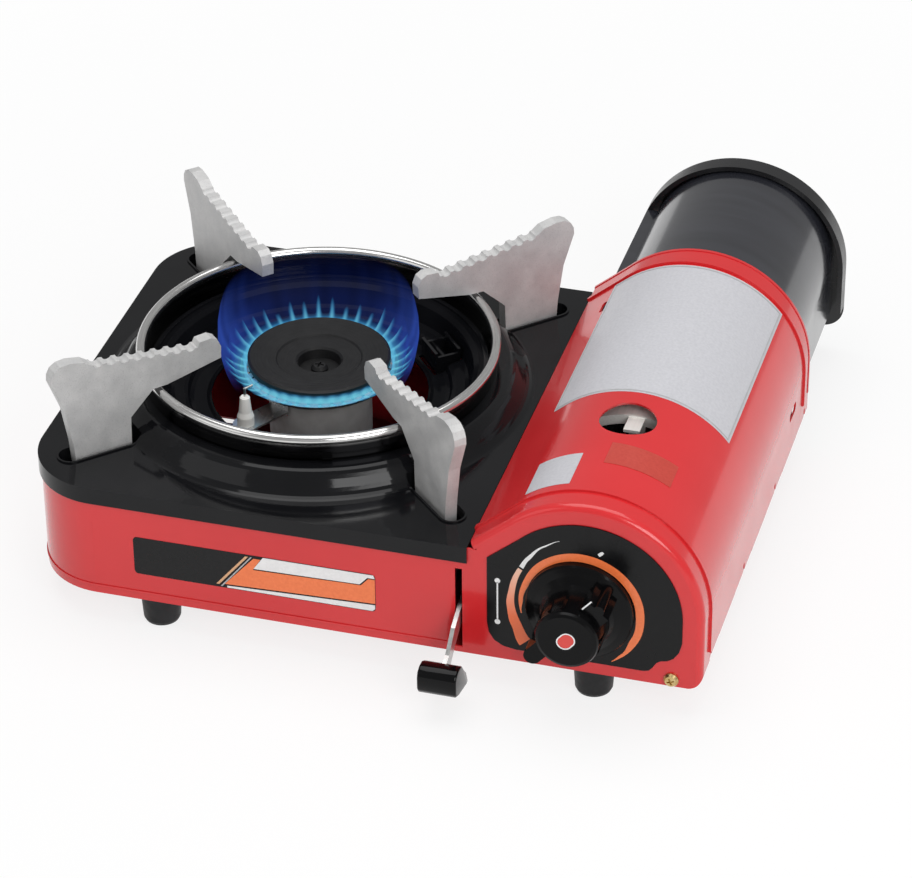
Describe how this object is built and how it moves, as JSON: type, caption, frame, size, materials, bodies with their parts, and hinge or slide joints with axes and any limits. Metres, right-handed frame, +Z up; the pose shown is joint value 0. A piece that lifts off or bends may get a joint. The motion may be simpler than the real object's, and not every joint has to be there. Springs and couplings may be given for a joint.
{
  "type": "portable gas stove",
  "caption": "Tabletop butane stove: pressed steel tray, round burner in a windshield, lift-out pan supports, hinged arched cartridge lid, rear sliding cover, knob and lock lever",
  "frame": {"origin": "middle of the bounding box on the ground under the feet", "axes": "+X right along the front, +Y toward the back, +Z up"},
  "size_m": [0.2711, 0.2998, 0.1047],
  "materials": {
    "red_paint": "gloss",
    "black_enamel": "gloss",
    "black_paint": "satin",
    "stainless": "polished",
    "bright_steel": "satin",
    "grey_casting": "satin",
    "zinc_casting": "satin",
    "dark_iron": "matte",
    "cast_support": "rough",
    "brass": "satin",
    "black_plastic": "matte",
    "red_plastic": "gloss",
    "black_label": "satin",
    "white_plastic": "matte",
    "white_sleeve": "matte",
    "ceramic": "gloss",
    "foot_rubber": "matte"
  },
  "bodies": {
    "root": {"chassis": "red_paint", "top_plate": "black_enamel", "windshield_ring": "stainless", "drip_pan": "black_enamel", "burner_body": "grey_casting", "flame_ring": "bright_steel", "burner_cap": "dark_iron", "cap_screw": "dark_iron", "mixing_tube": "bright_steel", "gas_nozzle": "brass", "regulator_body": "zinc_casting", "diaphragm_cover": "bright_steel", "regulator_bracket": "bright_steel", "regulator_screws": "bright_steel", "dial_plate": "black_label", "panel_screw": "brass", "piezo_igniter": "white_plastic", "igniter_lead": "white_sleeve", "igniter_electrode": "ceramic", "electrode_wire": "bright_steel", "electrode_bracket": "bright_steel", "heat_panel": "black_enamel", "partition": "bright_steel", "lever_pivot_pin": "bright_steel", "lever_spacer": "bright_steel", "cartridge_cradle": "bright_steel", "slide_rails": "bright_steel", "lid_hinge_rod": "bright_steel", "foot_front_left": "foot_rubber", "foot_front_right": "foot_rubber", "foot_back_left": "foot_rubber", "foot_back_right": "foot_rubber", "tray_screws": "bright_steel"},
    "knob": {"valve_shaft": "brass", "control_knob": "black_plastic", "knob_marker": "red_plastic"},
    "lever": {"lock_lever": "bright_steel", "lever_handle": "black_plastic"},
    "carriage": {"cartridge_carriage": "bright_steel"},
    "lid": {"cartridge_lid": "red_paint"},
    "cover": {"sliding_cover": "black_paint", "cover_end_cap": "black_plastic"},
    "support_front_left": {"pan_support_front_left": "cast_support"},
    "support_front_right": {"pan_support_front_right": "cast_support"},
    "support_back_left": {"pan_support_back_left": "cast_support"},
    "support_back_right": {"pan_support_back_right": "cast_support"}
  },
  "joints": [
    {"name": "knob_turn", "type": "hinge", "parent": "root", "child": "knob", "pos_m": [0.08815, -0.14155, 0.0426], "axis": [0, -1, 0], "range_deg": [-139, 0]},
    {"name": "lever_turn", "type": "hinge", "parent": "root", "child": "lever", "pos_m": [0.04085, -0.07645, 0.039], "axis": [-1, 0, 0], "range_deg": [0, 20]},
    {"name": "carriage_slide", "type": "slide", "parent": "root", "child": "carriage", "axis": [0, 1, 0], "range_m": [0, 0.0048]},
    {"name": "lid_hinge", "type": "hinge", "parent": "root", "child": "lid", "pos_m": [0.13255, -0.02655, 0.0195], "axis": [0, 1, 0], "range_deg": [0, 100]},
    {"name": "cover_slide", "type": "slide", "parent": "root", "child": "cover", "axis": [0, -1, 0], "range_m": [0, 0.07]},
    {"name": "support_front_left_lift", "type": "slide", "parent": "root", "child": "support_front_left", "axis": [0, 0, 1], "range_m": [0, 0.036]},
    {"name": "support_front_right_lift", "type": "slide", "parent": "root", "child": "support_front_right", "axis": [0, 0, 1], "range_m": [0, 0.036]},
    {"name": "support_back_left_lift", "type": "slide", "parent": "root", "child": "support_back_left", "axis": [0, 0, 1], "range_m": [0, 0.036]},
    {"name": "support_back_right_lift", "type": "slide", "parent": "root", "child": "support_back_right", "axis": [0, 0, 1], "range_m": [0, 0.036]}
  ],
  "couplings": [
    {"joint": "carriage_slide", "follows": "lever_turn", "m_per_rad": 0.0129}
  ]
}
